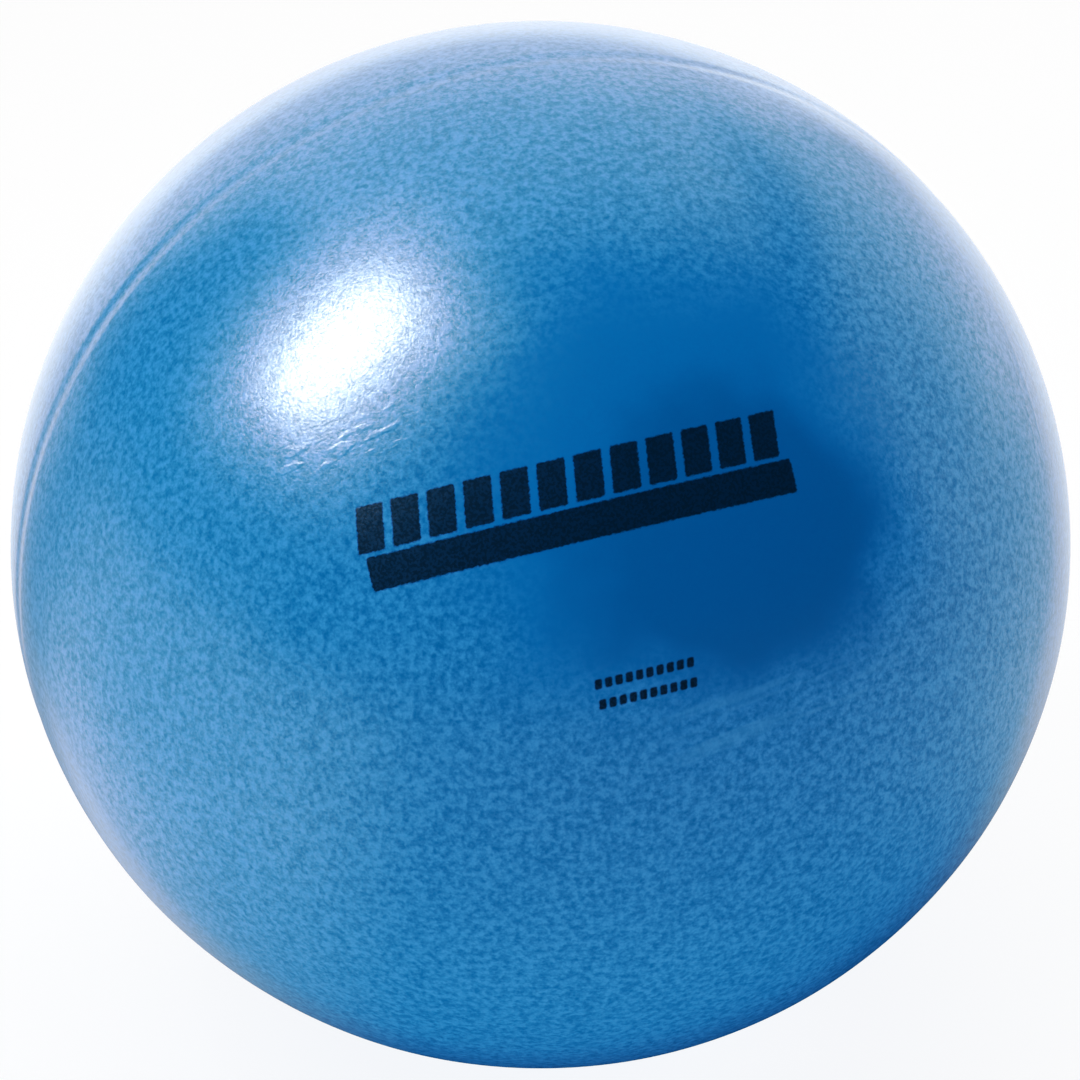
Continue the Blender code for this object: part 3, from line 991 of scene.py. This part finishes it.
# Close under the ball they fade into painted shadow.
from_contact = vector_node(tree, "DISTANCE", place, CONTACT_MIDDLE)
pools = math_node(tree, "MULTIPLY", pools, ramp(tree, from_contact, *CONTACT_STEP))
print("floor", 2 * FLOOR_REACH, "m wide, with", len(POOLS), "pools")

# %% [markdown]
# The Light Path node tells one kind of ray from another. Only the camera sees any paint, so that the soft
# shadow has something to fall on.

# %% What each ray sees of the floor
SEEN_WHITE = 0.86  # the glow that the camera sees, under the light that falls on the paint
SEEN_PAINT = 0.20
BOUNCE = 1.11  # the glow that lights the ball's body

ray = node(tree, "ShaderNodeLightPath").outputs
strength = math_node(tree, "MULTIPLY", ray["Is Camera Ray"], SEEN_WHITE)
strength = math_node(tree, "MULTIPLY_ADD", ray["Is Diffuse Ray"], BOUNCE, strength)
strength = math_node(tree, "MULTIPLY_ADD", ray["Is Glossy Ray"], pools, strength)
paint = math_node(tree, "MULTIPLY", ray["Is Camera Ray"], SEEN_PAINT)
glow = node(tree, "ShaderNodeEmission", None, Color=WHITE, Strength=strength).outputs[0]
matte = node(tree, "ShaderNodeBsdfDiffuse", None, Color=paint).outputs[0]
both = node(tree, "ShaderNodeAddShader", None, _0=matte, _1=glow).outputs[0]
feed(tree, tree.nodes["Material Output"].inputs["Surface"], both)
floor_material.cycles.emission_sampling = "NONE"
floor_mesh.materials.append(floor_material)
print("material", floor_material.name, len(tree.nodes), "nodes")

# %% [markdown]
# ## The lights
#
# A small bright softbox on the upper left makes the hot spot, with a dim wide one round it for its halo.
# White panels overhead, behind and at the sides show in the gloss towards the ball's edge. The camera's side
# is dark, which keeps the middle of the ball deep blue. A real panel both shines in the gloss and lights the
# body. Here each job has its own lamp, so either can be matched alone.

# %% A panel in two parts


def lamp(name, place, facing, size, radiance, long_side):
    """A flat light at a place, facing a point. Its power is the radiance times pi times its area."""
    light = bpy.data.lights.new(name, "AREA")
    light.shape = "RECTANGLE"
    light.size, light.size_y = size
    light.energy = radiance * math.pi * size[0] * size[1]
    made = bpy.data.objects.new(name, light)
    bpy.context.scene.collection.objects.link(made)
    back = (Vector(place) - Vector(facing)).normalized()
    side = Vector(long_side) if long_side else Vector((0, 0, 1)).cross(back)
    side = (side - back * side.dot(back)).normalized()
    turned = Matrix((side, back.cross(side), back)).transposed().to_4x4()
    made.matrix_world = Matrix.Translation(place) @ turned
    made.visible_camera = False
    return made


def panel(name, place, facing, size, shine, glow, long_side=None):
    """A light in two parts: one that only reflections see, at the radiance shine, and one that only lights
    what is matte, at the radiance glow."""
    if shine:
        lamp(name + "_shine", place, facing, size, shine, long_side).visible_diffuse = False
    if glow:
        soft = lamp(name + "_glow", place, facing, size, glow, long_side)
        soft.visible_glossy = False
        soft.data.cycles.use_multiple_importance_sampling = False
    print(f"{name}: shine {shine}, glow {glow}")


# %% [markdown]
# The softbox hangs straight out along the mirrored line of sight from the hot spot's place on the ball. The
# other panels lie where such lines lead from the bright bands near the ball's edge.

# %% Where the panels hang
HOT_SPOT = (-0.0747, -0.0745, 0.2532)
KEY_WAY = (-0.625, 0.059, 0.778)
KEY_SIDE = (0.716, 0.172, 0.676)
KEY_PANELS = (  # name, distance, the two sides, shine and glow
    ("key", 1.30, (0.68, 0.36), 46.0, 7.2),
    ("key_edge", 1.40, (1.50, 1.20), 2.3, 0.0),
)
ball_centre = Vector((0.0, 0.0, centre_height))
PANELS = (  # name, place, the point that it faces, the two sides, shine and glow
    ("overhead", (0.25, 1.35, 1.9), (0.25, 1.0, 0.0), (2.9, 2.6), 1.0, 0.0),
    ("overhead_rear", (0.15, 1.60, 1.85), (0.15, 1.25, 0.0), (2.5, 2.1), 0.8, 0.0),
    ("back", (0.3, 2.8, 0.9), (0.3, 0.0, 0.4), (3.8, 1.8), 1.65, 0.0),
    ("right", (1.9, 0.6, 0.8), (0.0, 0.3, 0.2), (2.7, 1.5), 0.95, 0.5),
    ("right_rear", (1.8, 1.25, 0.8), (0.0, 0.95, 0.2), (1.8, 1.5), 0.45, 0.0),
    ("left", (-2.2, 0.55, 0.32), (0.0, 0.55, 0.3), (2.5, 0.6), 0.4, 0.0),
    ("low_left", (-1.6, -1.0, 0.4), ball_centre, (1.2, 0.7), 0.0, 3.3),
    ("near_right", (1.5, -0.8, 0.8), ball_centre, (1.2, 1.0), 0.0, 1.5),
    ("above", (0.1, 0.3, 1.9), (0.1, 0.2, 0.0), (2.0, 1.6), 0.0, 1.90),
)

for name, distance, size, shine, glow in KEY_PANELS:
    panel(name, Vector(HOT_SPOT) + Vector(KEY_WAY) * distance, Vector(HOT_SPOT), size, shine, glow, KEY_SIDE)
for values in PANELS:
    panel(*values)

# %% [markdown]
# The camera sees a white backdrop behind everything. It gives the ball hardly any light.

# %% The backdrop
BACKDROP_SEEN = 0.99
BACKDROP_LIGHT = 0.01

world = bpy.data.worlds.new("studio")
bpy.context.scene.world = world
world.use_nodes = True
tree = world.node_tree
backdrop = tree.nodes["Background"]
seen = node(tree, "ShaderNodeLightPath").outputs["Is Camera Ray"]
feed(tree, backdrop.inputs["Color"], WHITE)
feed(tree, backdrop.inputs["Strength"], math_node(tree, "MULTIPLY_ADD", seen, BACKDROP_SEEN, BACKDROP_LIGHT))
print("backdrop", world.name)

# %% [markdown]
# ## Camera
#
# The ball was photographed from a little to the left of its front and from 28 degrees above. The outline in
# the photograph is almost a circle that fills the frame, which gives the distance and the angle of view. Its
# middle lies a few pixels off the frame's, so the lens is shifted.

# %% Camera
CAMERA_AZIMUTH = math.radians(-15.7)
CAMERA_ELEVATION = math.radians(28.0)
CAMERA_DISTANCE = 1.25
HALF_VIEW = 0.1237  # the tangent of half the angle of view
SENSOR_WIDTH = 36.0
PHOTO_SIDE = 1080
BALL_PIXEL = (540.5, 544.0)  # the outline's middle in the photograph

camera_data = bpy.data.cameras.new("camera")
camera_data.sensor_width = SENSOR_WIDTH
camera_data.lens = SENSOR_WIDTH / 2 / HALF_VIEW
camera_data.shift_x = (PHOTO_SIDE / 2 - BALL_PIXEL[0]) / PHOTO_SIDE
camera_data.shift_y = (BALL_PIXEL[1] - PHOTO_SIDE / 2) / PHOTO_SIDE
camera = bpy.data.objects.new("camera", camera_data)
bpy.context.scene.collection.objects.link(camera)
towards_x = math.sin(CAMERA_AZIMUTH) * math.cos(CAMERA_ELEVATION)
towards_y = -math.cos(CAMERA_AZIMUTH) * math.cos(CAMERA_ELEVATION)
towards = Vector((towards_x, towards_y, math.sin(CAMERA_ELEVATION)))
camera.location = ball_centre + towards * CAMERA_DISTANCE
camera.rotation_euler = towards.to_track_quat("Z", "Y").to_euler()
bpy.context.scene.camera = camera
print(f"camera at {tuple(round(v, 3) for v in camera.location)}, lens {camera_data.lens:.1f} mm")

# %% [markdown]
# The photograph has more contrast than the bare light, so a curve darkens the darks and lifts the lights.

# %% Contrast
CONTRAST = ((0.02, 0.008), (0.05, 0.032), (0.12, 0.115), (0.25, 0.30), (0.50, 0.55), (0.75, 0.79))
ALL_COLOURS = 3  # the number of the curve that works on red, green and blue alike

view = bpy.context.scene.view_settings
view.view_transform = "Standard"
view.use_curve_mapping = True
contrast = view.curve_mapping.curves[ALL_COLOURS]
for light_in, light_out in CONTRAST:
    contrast.points.new(light_in, light_out)
view.curve_mapping.update()
print("contrast curve with", len(contrast.points), "points")
